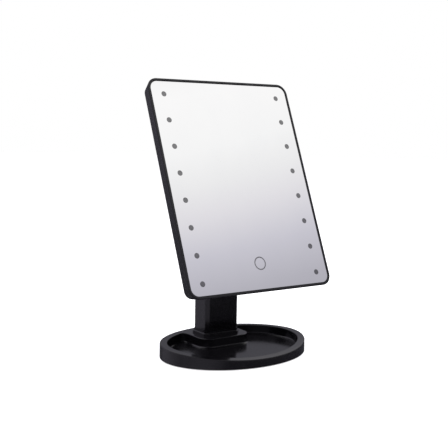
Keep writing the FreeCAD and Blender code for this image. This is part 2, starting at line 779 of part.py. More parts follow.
def column_housing():
    """The rear shell of the column, with the fork that holds the tilt axle."""
    body = new_body("column_housing")
    add(body, "housing_shell", "XY", "base_top", FORK_UNDERSIDE,
        half_section("column_width", "column_bevel", COLUMN_BACK, PANEL_BACK, 1))
    cut(body, "housing_hollow", "XY", "base_top + column_floor", FORK_UNDERSIDE,
        half_section("column_width - 2 * column_wall", INNER_BEVEL,
                     f"{COLUMN_BACK} - column_wall", PANEL_BACK, 1))
    add(body, "fork_block", "XY", FORK_UNDERSIDE, COLUMN_TOP,
        bevelled_box("column_width", "column_depth", "column_bevel", "0", "column_y"))
    dress(body, "Fillet", "housing_bevel_edges", "0.5", outer_bevel_edge)
    cut(body, "fork_slot", "YZ", "-fork_gap / 2", "fork_gap / 2",
        span(f"{COLUMN_FRONT} - 1", f"{COLUMN_BACK} + 1", FORK_FLOOR, f"{COLUMN_TOP} + 1"))
    cut(body, "fork_crown", "YZ", "-column_width / 2", "column_width / 2",
        arch_over("column_depth / 2", "column_depth / 2 + 1", "column_y", "pivot_height"))
    dress(body, "Fillet", "fork_crown_edges", "0.5", fork_crown_edge)
    cut(body, "axle_bores", "YZ", "-column_width / 2", "column_width / 2",
        circle("axle_radius + 0.01", "column_y", "pivot_height"))
    for label, low, high in (("left", "-column_width / 2", f"-({EAR_SEAT})"),
                             ("right", EAR_SEAT, "column_width / 2")):
        cut(body, f"ear_pocket_{label}", "YZ", low, high,
            circle("ear_pocket_radius", "column_y", "pivot_height"))
    cut(body, "fork_wire_hole", "XY", FORK_UNDERSIDE, FORK_FLOOR,
        circle("wire_hole_radius", "0", "column_y"))
    add(body, "foot_bosses", "XY", "base_top + column_floor - 0.5",
        "inlet_height - 1.3 - power_board_thickness",
        *[circle("3", across, along) for across, along in COLUMN_SCREWS])
    cut(body, "foot_pilots", "XY", "base_top", "22.5",
        *[circle("1.25", across, along) for across, along in COLUMN_SCREWS])
    add(body, "panel_posts", "XZ", f"{PANEL_BACK} + 2.2", f"{COLUMN_BACK} - 1",
        *[circle("panel_post_radius", "0", height) for height in PANEL_SCREW_HEIGHTS])
    cut(body, "panel_post_recesses", "XZ", "panel_screw_seat", COLUMN_BACK,
        *[circle("2.3", "0", height) for height in PANEL_SCREW_HEIGHTS])
    cut(body, "panel_post_holes", "XZ", f"{PANEL_BACK} + 2.2", "panel_screw_seat",
        *[circle("1.3", "0", height) for height in PANEL_SCREW_HEIGHTS])
    cut(body, "battery_opening", "XZ", f"{COLUMN_BACK} - column_wall", COLUMN_BACK,
        span("-cover_width / 2 - cover_gap", "cover_width / 2 + cover_gap",
             "cover_bottom - cover_gap", "cover_top + cover_gap"))
    cut(body, "inlet_opening", "XZ", f"{COLUMN_BACK} - column_wall", COLUMN_BACK,
        rounded_box("8.4", "3.5", "0.8", "0", "inlet_height"))
    cut(body, "switch_opening", "XZ", f"{COLUMN_BACK} - column_wall", COLUMN_BACK,
        box("knob_width + switch_travel + 0.6", "knob_height + 0.6", "0", "switch_height"))
    pin_reach = "cover_width / 2 + cover_gap + 1"
    cut(body, "cover_pin_holes", "YZ", f"-({pin_reach})", pin_reach,
        circle("cover_pin_radius + running_gap", COVER_PIVOT_Y, COVER_PIVOT_Z))
    node(body)


def outer_bevel_edge(edge):
    """The upright edges on either side of the column's four bevels."""
    if not runs_along("z")(edge):
        return False
    point = sample(edge)[0]
    across = abs(point.x)
    along = abs(point.y - size("column_y"))
    half_width, half_depth = size("column_width / 2"), size("column_depth / 2")
    bevel = size("column_bevel")
    beside = abs(across - half_width) < 0.01 and abs(along - half_depth + bevel) < 0.01
    facing = abs(along - half_depth) < 0.01 and abs(across - half_width + bevel) < 0.01
    return beside or facing


def fork_crown_edge(edge):
    """The edges where the ears' half-round tops meet the slot."""
    axis_y, axis_z = size("column_y"), size("pivot_height")
    reach = size("column_depth / 2")
    return all(point.z > axis_z - 0.01 and abs(abs(point.x) - size(EAR_INSIDE)) < 0.01
               and abs(math.hypot(point.y - axis_y, point.z - axis_z) - reach) < 0.01
               for point in sample(edge))


def column_front_panel():
    body = new_body("column_front_panel")
    joint = f"{PANEL_BACK} - seam"
    top = f"{FORK_UNDERSIDE} - seam"
    add(body, "panel_shell", "XY", "base_top", top,
        half_section("column_width", "column_bevel", COLUMN_FRONT, joint, -1))
    dress(body, "Fillet", "panel_bevel_edges", "0.5", outer_bevel_edge)
    cut(body, "panel_hollow", "XY", "base_top", top,
        half_section("column_width - 2 * column_wall", INNER_BEVEL,
                     f"{COLUMN_FRONT} + column_wall", joint, -1))
    add(body, "panel_bosses", "XZ", f"{COLUMN_FRONT} + column_wall - 0.2", f"{PANEL_BACK} + 2",
        *[circle("3", "0", height) for height in PANEL_SCREW_HEIGHTS])
    cut(body, "panel_pilots", "XZ", f"{COLUMN_FRONT} + column_wall", f"{PANEL_BACK} + 2",
        *[circle("1", "0", height) for height in PANEL_SCREW_HEIGHTS])
    node(body)


def panel_screws():
    master = screw("panel_screw", "1", "10.4", "2.1")
    forward = Rotation(Vector(1, 0, 0), -90)
    copies("panel_screws", master,
           [Placement(Vector(0, size("panel_screw_seat"), size(height)), forward)
            for height in PANEL_SCREW_HEIGHTS])


def column_collar():
    """The flared ring that holds both shells together at the column's foot."""
    body = new_body("column_collar")
    lip_top = "base_top + collar_lip"
    cove_top = "base_top + collar_height"
    neck = "0.6"

    def ring(flare):
        return bevelled_box(f"column_width + 2 * {flare}", f"column_depth + 2 * {flare}",
                            f"column_bevel + 0.586 * {flare}", "0", "column_y")
    add(body, "collar_lip_ring", "XY", "base_top", lip_top, ring("collar_flare"))
    add(body, "collar_neck_ring", "XY", lip_top, cove_top, ring(neck))
    neck_half = size(f"column_width / 2 + {neck}")

    def cove_edge(edge):
        return lies_at("z", lip_top)(edge) and all(abs(point.x) < neck_half + 0.01
                                                   and abs(point.y - size("column_y"))
                                                   < size(f"column_depth / 2 + {neck}") + 0.01
                                                   for point in sample(edge))
    dress(body, "Fillet", "collar_cove", "0.9", cove_edge)
    cut(body, "collar_bore", "XY", "base_top", cove_top, ring("0.05"))
    node(body)


def hinge_hardware():
    """The axle through the fork, its friction washers, and the parts that clamp it."""
    def piece(name, *steps):
        body = new_body(name)
        for number, (low, high, outlines) in enumerate(steps):
            add(body, f"{name}_{number}", "YZ", low, high, *outlines)
        node(body)

    def disc(radius):
        return circle(radius, "column_y", "pivot_height")
    seat = EAR_SEAT
    piece("hinge_axle", (f"-({seat}) - 2.2", f"-({seat})", [disc("5.4")]),
          (f"-({seat})", "17.4", [disc("axle_radius")]))
    piece("hinge_friction_washers",
          (f"{EAR_INSIDE} - running_gap - friction_washer", f"{EAR_INSIDE} - running_gap",
           [disc("friction_radius"), disc("axle_radius + 0.1")]),
          (f"-({EAR_INSIDE}) + running_gap", f"-({EAR_INSIDE}) + running_gap + friction_washer",
           [disc("friction_radius"), disc("axle_radius + 0.1")]))
    piece("hinge_flat_washer", (seat, f"{seat} + 0.6", [disc("5.8"), disc("axle_radius + 0.1")]))
    piece("hinge_nut", (f"{seat} + 1.9", f"{seat} + 4.3",
                        [hexagon("5.5", "column_y", "pivot_height"), disc("axle_radius")]))
    outside = "column_width / 2"
    piece("hinge_caps",
          (f"{outside} - 1.4", outside, [disc("ear_pocket_radius - 0.1")]),
          (f"{outside} - 2", f"{outside} - 1.4",
           [disc("ear_pocket_radius - 0.1"), disc("ear_pocket_radius - 1.1")]),
          (f"-{outside}", f"-{outside} + 1.4", [disc("ear_pocket_radius - 0.1")]),
          (f"-{outside} + 1.4", f"-{outside} + 2",
           [disc("ear_pocket_radius - 0.1"), disc("ear_pocket_radius - 1.1")]))


def hexagon(corner_radius, across, along):
    return polygon([(f"{across} + {corner_radius} * {math.cos(math.radians(60 * number)):.6f}",
                     f"{along} + {corner_radius} * {math.sin(math.radians(60 * number)):.6f}")
                    for number in range(6)])


def hinge_lock_washer():
    """The split spring washer between the flat washer and the nut."""
    body = new_body("hinge_lock_washer")
    low, high = f"{EAR_SEAT} + 0.65", f"{EAR_SEAT} + 1.85"
    add(body, "lock_ring", "YZ", low, high, circle("5", "column_y", "pivot_height"),
        circle("axle_radius + 0.1", "column_y", "pivot_height"))
    cut(body, "lock_split", "YZ", low, high,
        span("column_y - 0.4", "column_y + 0.4", "pivot_height", "pivot_height + 6"))
    node(body)


# ---------------------------------------------------------------- batteries

BAY_TOP = "bay_bottom + bay_length"


def battery_cradle():
    """The tray that holds the cells and their contacts."""
    body = new_body("battery_cradle")
    sheet_front = "cell_y - cell_radius - 0.2 - cradle_wall"
    sheet_back = "cell_y - cell_radius - 0.2"
    mouth = "41.8"
    inner = "cell_spacing / 2 + cell_radius + 0.4"
    outer = f"{inner} + cradle_wall"
    low, high = "bay_bottom - cradle_wall", f"{BAY_TOP} + cradle_wall"
    add(body, "cradle_box", "XY", low, high, span(f"-({outer})", outer, sheet_front, mouth))
    cut(body, "cradle_bay", "XY", "bay_bottom", BAY_TOP,
        span(f"-({inner})", inner, sheet_back, mouth))
    node(body)


def battery_cells():
    """Four round cells: each side is two in line, and the two sides point opposite ways."""
    master = new_body("battery_cell")
    body_length = "cell_length - nub_length"
    turn(master, "cell_turned", [
        ("0", "0"), ("cell_radius - 0.5", "0"), ("cell_radius", "0.5"),
        ("cell_radius", f"{body_length} - 0.5"), ("cell_radius - 0.5", body_length),
        ("nub_radius", body_length), ("nub_radius", "cell_length"), ("0", "cell_length")])
    half = size("cell_spacing / 2")
    along = size("cell_y")
    left_base = size("bay_bottom + contact_thickness")
    right_base = left_base + size("spring_height")
    length = size("cell_length")
    down = Rotation(Vector(1, 0, 0), 180)
    places = [Placement(Vector(-half, along, left_base + length * number), down)
              for number in (1, 2)]
    places += [Placement(Vector(half, along, right_base + length * number), Rotation())
               for number in (0, 1)]
    copies("battery_cells", master, places)


def battery_springs():
    """The coil springs that press on the flat end of each column of cells."""
    radius, wire = size("spring_radius"), size("spring_wire")
    turns, steps = 4, 8
    rise = size("spring_height") - 2 * wire - 0.1
    half, along = size("cell_spacing / 2"), size("cell_y")
    low = size("bay_bottom + contact_thickness") + wire + 0.05
    high = low + 2 * size("cell_length")
    springs = []
    for across, height in ((half, low), (-half, high)):
        points = []
        for number in range(turns * steps + 1):
            angle = 2 * math.pi * number / steps
            points.append((across + radius * math.cos(angle), along + radius * math.sin(angle),
                           height + rise * number / (turns * steps)))
        springs.append(tube(points, wire, 0.85 * radius))
    solid_feature("battery_springs", springs)


def battery_contacts():
    """The bridge under both columns, and the two end plates above them."""
    body = new_body("battery_contacts")
    deep = "2 * cell_radius - 2"
    add(body, "bridge", "XY", "bay_bottom", "bay_bottom + contact_thickness",
        box("cell_spacing + 11", deep, "0", "cell_y"))
    add(body, "end_plates", "XY", f"{BAY_TOP} - contact_thickness", BAY_TOP,
        box("11", deep, "cell_spacing / 2", "cell_y"),
        box("11", deep, "-cell_spacing / 2", "cell_y"))
    node(body)


def battery_cover():
    """The door over the cells, hinged on two stub pins at its lower corners."""
    body = new_body("battery_cover")
    half = "cover_width / 2"
    add(body, "cover_sheet", "XZ", COVER_INSIDE_Y, COLUMN_BACK,
        span(f"-{half}", half, "cover_bottom", "cover_top"))
    dress(body, "Fillet", "cover_foot_round", "cover_pivot_inset - 0.08", cover_foot_edge)
    dress(body, "Fillet", "cover_border", "0.3",
          lambda edge: edge.Length > 20 and lies_at("y", COLUMN_BACK)(edge)
          and sample(edge)[2].z > size("cover_bottom") + 5)
    near, far = f"{half} - cover_lug_inset - cover_lug_width", f"{half} - cover_lug_inset"
    for side, low, high in (("left", f"-({far})", f"-({near})"), ("right", near, far)):
        add(body, f"cover_lug_{side}", "YZ", low, high,
            circle("cover_lug_radius", COVER_PIVOT_Y, COVER_PIVOT_Z))
    add(body, "cover_pins", "YZ", f"-{half} - cover_gap - 0.8", f"{half} + cover_gap + 0.8",
        circle("cover_pin_radius", COVER_PIVOT_Y, COVER_PIVOT_Z))
    add(body, "cover_ribs", "XZ", "42", f"{COVER_INSIDE_Y} + 0.2",
        box("cover_rib_width", "100", f"-{half} + 1.3", "98"),
        box("cover_rib_width", "100", f"{half} - 1.3", "98"))
    add(body, "cover_grip", "XZ", f"{COLUMN_BACK} - 0.3", f"{COLUMN_BACK} + 0.5",
        *[box("12", "1", "0", f"146 + 2.4 * {number}") for number in range(3)])
    node(body)


def cover_foot_edge(edge):
    points = sample(edge)
    return all(abs(point.z - size("cover_bottom")) < 0.01
               and abs(point.y - size(COLUMN_BACK)) < 0.01 for point in points)


# ---------------------------------------------------------------- inlet, switch and wiring

def power_board():
    body = new_body("power_board")
    top = "inlet_height - 1.3"
    add(body, "power_laminate", "XY", f"{top} - power_board_thickness", top,
        span("-13", "13", "27", "43"))
    add(body, "regulator", "XY", top, f"{top} + 1.5", box("4", "3.4", "-8", "33"))
    add(body, "coil_choke", "XY", top, f"{top} + 2.4", circle("2.6", "8", "38"))
    node(body)


def power_inlet():
    """A small five-volt socket: a folded steel shell with a contact tongue inside."""
    shell = new_body("inlet_shell")
    add(shell, "shell_block", "XZ", "38.2", f"{COLUMN_BACK} - 0.6",
        rounded_box("7.5", "2.6", "0.7", "0", "inlet_height"))
    cut(shell, "shell_mouth", "XZ", "38.8", f"{COLUMN_BACK} - 0.6",
        rounded_box("6.9", "2", "0.5", "0", "inlet_height"))
    node(shell)
    tongue = new_body("inlet_tongue")
    add(tongue, "tongue_bar", "XZ", "38.8", f"{COLUMN_BACK} - 1.4",
        box("5", "0.7", "0", "inlet_height + 0.25"))
    node(tongue)


def power_switch():
    case = new_body("switch_case")
    face = f"{COLUMN_BACK} - column_wall - 0.05"
    add(case, "case_block", "XZ", "switch_case_front", face,
        box("switch_case_width", "switch_case_height", "0", "switch_height"))
    cut(case, "case_hollow", "XZ", "switch_case_front + 0.8", face,
        box("switch_case_width - 2 * switch_case_wall", "switch_case_height - 0.8", "0",
            "switch_height"))
    add(case, "case_pins", "XZ", "switch_pin_front", "switch_case_front",
        *[box("0.8", "0.5", f"{number} * 2.5", "switch_height") for number in (-1, 0, 1)])
    node(case)
    knob = new_body("switch_knob")
    offset = "-switch_travel / 2"
    add(knob, "knob_slider", "XZ", "knob_slider_front", f"{face} - 0.2",
        box("knob_width + 1.4", "3.4", offset, "switch_height"))
    add(knob, "knob_stem", "XZ", f"{face} - 0.3", f"{COLUMN_BACK} + 1.2",
        box("knob_width", "knob_height", offset, "switch_height"))
    for number in (-1, 0, 1):
        cut(knob, f"knob_groove_{number + 1}", "XZ", f"{COLUMN_BACK} + 0.9",
            f"{COLUMN_BACK} + 1.2",
            box("0.4", "knob_height", f"{offset} + 0.9 * {number}", "switch_height"))
    node(knob)


def column_wiring():
    """The supply wires up one side of the cells, and the switched pair through the fork's floor."""
    radius, bend = 0.5, 1.6
    behind_cells, before_cells = 35, 24.6
    run_top = 159
    switch_z = size("switch_height")
    pins_y = size("switch_pin_front")
    axis_y = size("column_y")
    hole_z = size(FORK_FLOOR)
    over_cells = size(BAY_TOP) + size("cradle_wall")
    board_top = size("inlet_height") - 1.3
    wires = [
        [(8, 30, board_top), (8, 30, 31), (8, before_cells, 38), (8, before_cells, run_top - 2),
         (8, 30, run_top + 3), (2.5, 34, switch_z), (2.5, pins_y, switch_z)],
        [(-8, behind_cells, over_cells), (-8, behind_cells, run_top),
         (-2.5, 34, switch_z - 1.5), (-2.5, pins_y, switch_z)],
        [(0, pins_y, switch_z), (0, 34, switch_z), (-0.8, axis_y, switch_z + 4),
         (-0.8, axis_y, hole_z)],
        [(6, behind_cells, over_cells), (6, behind_cells, run_top), (1, 33, switch_z - 1.5),
         (0.8, axis_y, switch_z + 4), (0.8, axis_y, hole_z)],
    ]
    solid_feature("column_wiring", [tube(points, radius, bend) for points in wires])


# ---------------------------------------------------------------- base

FLOOR_UNDERSIDE = "tray_floor - tray_thickness"
BASE_SCREWS = [(f"{sx} * base_screw_across", f"{sy} * base_screw_along")
               for sy in (-1, 1) for sx in (-1, 1)]
FEET = [(f"{sx} * foot_across", f"{sy} * foot_along") for sy in (-1, 1) for sx in (-1, 1)]


def base_tray():
    """The oval tray, with the raised island that carries the column at its back."""
    body = new_body("base_tray")
    add(body, "tray_block", "XY", "base_lift", "base_top", ellipse("base_width", "base_depth"))
    cut(body, "tray_well", "XY", "tray_floor", "base_top",
        ellipse("base_width - 2 * rim_width", "base_depth - 2 * rim_width"))
    add(body, "island", "XY", "tray_floor - 0.5", "base_top",
        span("-island_half", "island_half", "island_front", "island_back"))
    dress(body, "Fillet", "island_corners", "island_corner", island_edge(front=True))
    dress(body, "Fillet", "island_coves", "island_fillet", island_edge(front=False))
    drop = "(base_top - rim_front)"
    run = "(rim_level_from + base_depth / 2)"
    crown_centre = f"base_top - ({run} * {run} + {drop} * {drop}) / (2 * {drop})"

    def crown(sketch):
        front, back, above = "-base_depth / 2", "base_depth / 2 + 1", "base_top + 5"
        arc_outline(sketch, [(front, "rim_front"), ("rim_level_from", "base_top"),
                             (back, "base_top"), (back, above), (front, above)],
                    crown_centre, clockwise=True)
    cut(body, "rim_slope", "YZ", "-base_width / 2 - 1", "base_width / 2 + 1", crown)
    dress(body, "Fillet", "rim_edges", "rim_rounding", crown_edge)
    dress(body, "Fillet", "floor_cove", "floor_rounding", lies_at("z", "tray_floor"))
    cut(body, "underside", "XY", "base_lift", FLOOR_UNDERSIDE,
        ellipse("base_width - 2 * skirt_wall", "base_depth - 2 * skirt_wall"))
    cut(body, "island_hollow", "XY", FLOOR_UNDERSIDE, "base_top - 2",
        span("-island_half + 6", "island_half - 6", "island_front + 6", "50"))
    cut(body, "column_screw_holes", "XY", "base_top - 2", "base_top",
        *[circle("1.7", across, along) for across, along in COLUMN_SCREWS])
    cut(body, "base_screw_pilots", "XY", FLOOR_UNDERSIDE, "8.2",
        *[circle("1.1", across, along) for across, along in BASE_SCREWS])
    node(body)


def crown_edge(edge):
    """The outer and inner edges of the rim's top, and the island's front edge."""
    drop, level = size("base_top - rim_front"), size("rim_level_from")
    run = level + size("base_depth / 2")
    radius = (run * run + drop * drop) / (2 * drop)
    points = sample(edge, 7)
    for point in points:
        behind = max(level - point.y, 0)
        top = size("base_top") - radius + math.sqrt(radius * radius - behind * behind)
        if abs(point.z - top) > 0.02:
            return False
    return any(abs(point.y - level) > 0.1 for point in points)


def island_edge(front):
    """The island's upright edges: its two front corners, or where its sides meet the rim."""
    def test(edge):
        if not runs_along("z")(edge):
            return False
        point = sample(edge)[0]
        at_side = abs(abs(point.x) - size("island_half")) < 0.01
        at_front = abs(point.y - size("island_front")) < 0.01
        return at_side and (at_front if front else point.y > 40)
    return test


def base_bottom_plate():
    body = new_body("base_bottom_plate")
    top = "base_lift + bottom_plate"
    inset = "(2 * skirt_wall + 0.6)"
    add(body, "bottom_sheet", "XY", "base_lift", top,
        ellipse(f"base_width - {inset}", f"base_depth - {inset}"))
    add(body, "bottom_standoffs", "XY", f"{top} - 0.2", FLOOR_UNDERSIDE,
        *[circle("3", across, along) for across, along in BASE_SCREWS])
    cut(body, "bottom_holes", "XY", "base_lift", FLOOR_UNDERSIDE,
        *[circle("1.5", across, along) for across, along in BASE_SCREWS])
    cut(body, "bottom_recesses", "XY", "base_lift", "base_lift + 1.4",
        *[circle("2.7", across, along) for across, along in BASE_SCREWS])
    cut(body, "foot_seats", "XY", "base_lift", "base_lift + foot_sink",
        *[circle("foot_radius + 0.1", across, along) for across, along in FEET])
    node(body)


def rubber_feet():
    body = new_body("rubber_feet")
    add(body, "foot_pads", "XY", "0", "base_lift + foot_sink",
        *[circle("foot_radius", across, along) for across, along in FEET])
    dress(body, "Fillet", "foot_edges", "0.3", lies_at("z", "0"))
    node(body)


def base_fasteners():
    """The screws under the base: four for the bottom plate and four up into the column."""
    upward = Rotation(Vector(1, 0, 0), 180)
    short = screw("base_screw", "1.1", "5.2", "2.5")
    copies("base_screws", short,
           [Placement(Vector(size(across), size(along), size("base_lift") + 1.4), upward)
            for across, along in BASE_SCREWS])
    long = screw("column_screw", "1.25", "9.4", "2.8")
    copies("column_screws", long,
           [Placement(Vector(size(across), size(along), size("base_top") - 2), upward)
            for across, along in COLUMN_SCREWS])


# ---------------------------------------------------------------- build, check and write

def build():
    for step in (front_frame, mirror_glass, mirror_coating, glass_tape, window_diffusers,
                 lamp_boards, led_carrier_plate, touch_parts, head_wiring, rear_cover,
                 rear_cover_screws, hinge_bracket, hinge_sleeve, hinge_backing_plate,
                 hinge_bracket_screws, column_housing, column_front_panel, panel_screws,
                 column_collar, hinge_hardware, hinge_lock_washer, battery_cradle, battery_cells,
                 battery_springs, battery_contacts, battery_cover, power_board, power_inlet,
                 power_switch, column_wiring, base_tray, base_bottom_plate, rubber_feet,
                 base_fasteners):
        step()
        doc.recompute()


def check():
    """Stops on a failed object, a pocket that removes nothing, or an invalid sub-part."""
    for item in doc.Objects:
        if "Invalid" in item.State or "Error" in item.State:
            raise RuntimeError(f"{item.Name} failed: {item.State}")
        if item.TypeId == "PartDesign::Pocket":
            if item.Shape.Volume > item.BaseFeature.Shape.Volume - 0.001:
                raise RuntimeError(f"{item.Name} removes nothing")
        if item.TypeId == "PartDesign::Pad" and item.BaseFeature:
            if item.Shape.Volume < item.BaseFeature.Shape.Volume + 0.001:
                raise RuntimeError(f"{item.Name} adds nothing")
    for part in NODES:
        if part.Shape.isNull() or not part.Shape.isValid() or part.Shape.Volume <= 0:
            raise RuntimeError(f"{part.Label} has no valid shape")


def write():
    os.makedirs("parts", exist_ok=True)
    for part in NODES:
        part.Shape.exportStep(f"parts/{part.Label}.step")
        bounds = part.Shape.BoundBox
        print(f"{part.Label:26s} solids {len(part.Shape.Solids):2d}  volume {part.Shape.Volume:10.1f}"
              f"  X {bounds.XMin:7.2f} {bounds.XMax:7.2f}  Y {bounds.YMin:7.2f} {bounds.YMax:7.2f}"
              f"  Z {bounds.ZMin:7.2f} {bounds.ZMax:7.2f}")
    print(len(NODES), "nodes")


build()
check()
write()
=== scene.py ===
"""Looks of the lighted vanity mirror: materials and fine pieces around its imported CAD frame."""

import json
import math

import bmesh
import bpy
from mathutils import Matrix, Vector


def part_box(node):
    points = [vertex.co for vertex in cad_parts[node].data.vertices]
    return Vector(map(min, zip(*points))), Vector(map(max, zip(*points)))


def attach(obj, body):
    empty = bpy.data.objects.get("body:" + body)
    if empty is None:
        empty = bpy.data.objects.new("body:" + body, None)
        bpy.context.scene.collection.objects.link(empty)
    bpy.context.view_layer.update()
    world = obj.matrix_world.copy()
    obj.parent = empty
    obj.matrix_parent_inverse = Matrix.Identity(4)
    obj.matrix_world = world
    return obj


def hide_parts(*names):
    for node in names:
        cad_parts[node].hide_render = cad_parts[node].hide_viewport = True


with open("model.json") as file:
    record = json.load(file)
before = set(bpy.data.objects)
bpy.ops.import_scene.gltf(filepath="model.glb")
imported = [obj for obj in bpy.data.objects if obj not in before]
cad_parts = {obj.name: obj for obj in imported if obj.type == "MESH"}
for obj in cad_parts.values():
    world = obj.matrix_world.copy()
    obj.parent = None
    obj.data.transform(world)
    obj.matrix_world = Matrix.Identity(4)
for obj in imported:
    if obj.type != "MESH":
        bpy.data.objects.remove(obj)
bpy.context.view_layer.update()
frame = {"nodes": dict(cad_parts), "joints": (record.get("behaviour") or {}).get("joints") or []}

MM = 0.001

# ---------------------------------------------------------------- the head's own axes

TILT = next(joint for joint in frame["joints"] if joint["name"] == "head_tilt")
PIVOT = Vector(TILT["pos_m"])
LEAN = math.radians(-TILT["range_deg"][0])
HEAD_TO_WORLD = Matrix.Translation(PIVOT) @ Matrix.Rotation(-LEAN, 4, "X")


def head_box(node):
    """A head node's lowest and highest corners along the leaning head's own axes, from the pivot."""
    to_head = HEAD_TO_WORLD.inverted()
    points = [to_head @ vertex.co for vertex in frame["nodes"][node].data.vertices]
    return tuple(Vector([pick(point[axis] for point in points) for axis in range(3)])
                 for pick in (min, max))


# ---------------------------------------------------------------- node helpers

def new_material(name):
    """An empty material, and its node tree."""
    material = bpy.data.materials.new(name)
    material.use_nodes = True
    tree = material.node_tree
    tree.nodes.clear()
    return material, tree


def add(tree, kind, **settings):
    """A node of that kind. A setting is a property, or the value of the input with that name."""
    node = tree.nodes.new("ShaderNode" + kind)
    for key, value in settings.items():
        if hasattr(node, key):
            setattr(node, key, value)
        else:
            node.inputs[key.replace("_", " ")].default_value = value
    return node


def surface(tree, **settings):
    """The material's one Principled shader, joined to the output."""
    shader = add(tree, "BsdfPrincipled", **settings)
    output = add(tree, "OutputMaterial")
    tree.links.new(shader.outputs[0], output.inputs["Surface"])
    return shader


def place(tree, stretch=(1, 1, 1)):
    """Object coordinates in metres, stretched along each axis."""
    coordinates = add(tree, "TexCoord")
    mapping = add(tree, "Mapping")
    mapping.inputs["Scale"].default_value = stretch
    tree.links.new(coordinates.outputs["Object"], mapping.inputs["Vector"])
    return mapping.outputs[0]


def noise(tree, where, scale, detail=3, roughness=0.5):
    texture = add(tree, "TexNoise", Scale=scale, Detail=detail, Roughness=roughness)
    tree.links.new(where, texture.inputs["Vector"])
    return texture.outputs["Fac"]


def remap(tree, value, low, high, start, end):
    """The value with low to high stretched onto start to end."""
    node = add(tree, "MapRange")
    node.inputs["From Min"].default_value = low
    node.inputs["From Max"].default_value = high
    node.inputs["To Min"].default_value = start
    node.inputs["To Max"].default_value = end
    tree.links.new(value, node.inputs["Value"])
    return node.outputs[0]


def math_node(tree, operation, first, second=None):
    """Arithmetic on sockets or plain numbers."""
    node = add(tree, "Math", operation=operation)
    for number, value in enumerate((first, second)):
        if value is None:
            continue
        if isinstance(value, (int, float)):
            node.inputs[number].default_value = value
        else:
            tree.links.new(value, node.inputs[number])
    return node.outputs[0]


def ramp(tree, value, stops, interpolation="LINEAR"):
    """A colour ramp from (position, colour) stops."""
    node = add(tree, "ValToRGB")
    node.color_ramp.interpolation = interpolation
    elements = node.color_ramp.elements
    while len(elements) < len(stops):
        elements.new(0.5)
    for element, (position, colour) in zip(elements, stops):
        element.position = position
        element.color = (*colour, 1)
    tree.links.new(value, node.inputs[0])
    return node.outputs["Color"]


def bump(tree, height, distance):
    """A shading normal raised by the height, over that distance."""
    node = add(tree, "Bump", Distance=distance, Strength=1.0)
    tree.links.new(height, node.inputs["Height"])
    return node.outputs[0]


# ---------------------------------------------------------------- materials

SPARK_GRAIN = 0.25 * MM


def moulded_plastic(name, colour, worn, gloss, relief=0.004 * MM, specular=0.5):
    """Moulded plastic: a fine spark texture, faint cloudiness and a few handling scuffs."""
    material, tree = new_material(name)
    shader = surface(tree)
    shader.inputs["Specular IOR Level"].default_value = specular
    where = place(tree)
    clouds = noise(tree, where, 45, detail=4)
    tree.links.new(ramp(tree, clouds, [(0.3, colour), (0.75, worn)]), shader.inputs["Base Color"])
    scuffs = noise(tree, place(tree, (1, 0.12, 0.35)), 900, detail=2)
    scuffed = remap(tree, scuffs, 0.62, 0.78, 0, 0.08)
    cloudy = remap(tree, clouds, 0.3, 0.7, gloss - 0.035, gloss + 0.035)
    tree.links.new(math_node(tree, "ADD", cloudy, scuffed), shader.inputs["Roughness"])
    spark = noise(tree, where, 1 / SPARK_GRAIN, detail=2, roughness=0.6)
    tree.links.new(bump(tree, spark, relief), shader.inputs["Normal"])
    return material


def silvered_glass(name):
    """The mirror: silver seen through clear glass, with the faintest smears of handling."""
    material, tree = new_material(name)
    shader = surface(tree, Metallic=1.0)
    smear = noise(tree, place(tree, (1, 1, 0.4)), 28, detail=5, roughness=0.6)
    tint = [(0.35, (0.985, 0.985, 0.985)), (0.75, (0.965, 0.967, 0.97))]
    tree.links.new(ramp(tree, smear, tint), shader.inputs["Base Color"])
    tree.links.new(remap(tree, smear, 0.45, 0.8, 0.0, 0.05), shader.inputs["Roughness"])
    return material


def lamp_window(name, dark, pale, index):
    """Clear glass over a frosted diffuser whose lamp is off: dark, with a strong surface sheen."""
    material, tree = new_material(name)
    shader = surface(tree, IOR=index)
    where = place(tree)
    milky = noise(tree, where, 260, detail=3)
    tree.links.new(ramp(tree, milky, [(0.3, dark), (0.8, pale)]), shader.inputs["Base Color"])
    tree.links.new(remap(tree, milky, 0.3, 0.7, 0.08, 0.16), shader.inputs["Roughness"])
    tree.links.new(bump(tree, noise(tree, where, 5200), 0.002 * MM), shader.inputs["Normal"])
    return material


def brushed_steel(name):
    material, tree = new_material(name)
    shader = surface(tree, Metallic=1.0)
    strokes = noise(tree, place(tree, (1, 1, 14)), 700, detail=3)
    tree.links.new(ramp(tree, strokes, [(0.3, (0.42, 0.42, 0.43)), (0.7, (0.62, 0.62, 0.63))]),
                   shader.inputs["Base Color"])
    tree.links.new(remap(tree, strokes, 0.3, 0.7, 0.22, 0.4), shader.inputs["Roughness"])
    tree.links.new(bump(tree, strokes, 0.004 * MM), shader.inputs["Normal"])
    return material


def circuit_board(name, mask, weave_shows):
    """A laminate board: solder mask over a woven core, with faint copper runs beneath."""
    material, tree = new_material(name)
    shader = surface(tree)
    where = place(tree)
    runs = add(tree, "TexBrick", Scale=260.0, Mortar_Size=0.03)
    tree.links.new(where, runs.inputs["Vector"])
    runs.inputs["Color1"].default_value = (*mask, 1)
    runs.inputs["Color2"].default_value = (*(0.88 * part for part in mask), 1)
    runs.inputs["Mortar"].default_value = (*weave_shows, 1)
    tree.links.new(runs.outputs["Color"], shader.inputs["Base Color"])
    weave = noise(tree, where, 2600, detail=2)
    tree.links.new(remap(tree, weave, 0.3, 0.7, 0.3, 0.45), shader.inputs["Roughness"])
    tree.links.new(bump(tree, runs.outputs["Fac"], 0.02 * MM), shader.inputs["Normal"])
    return material


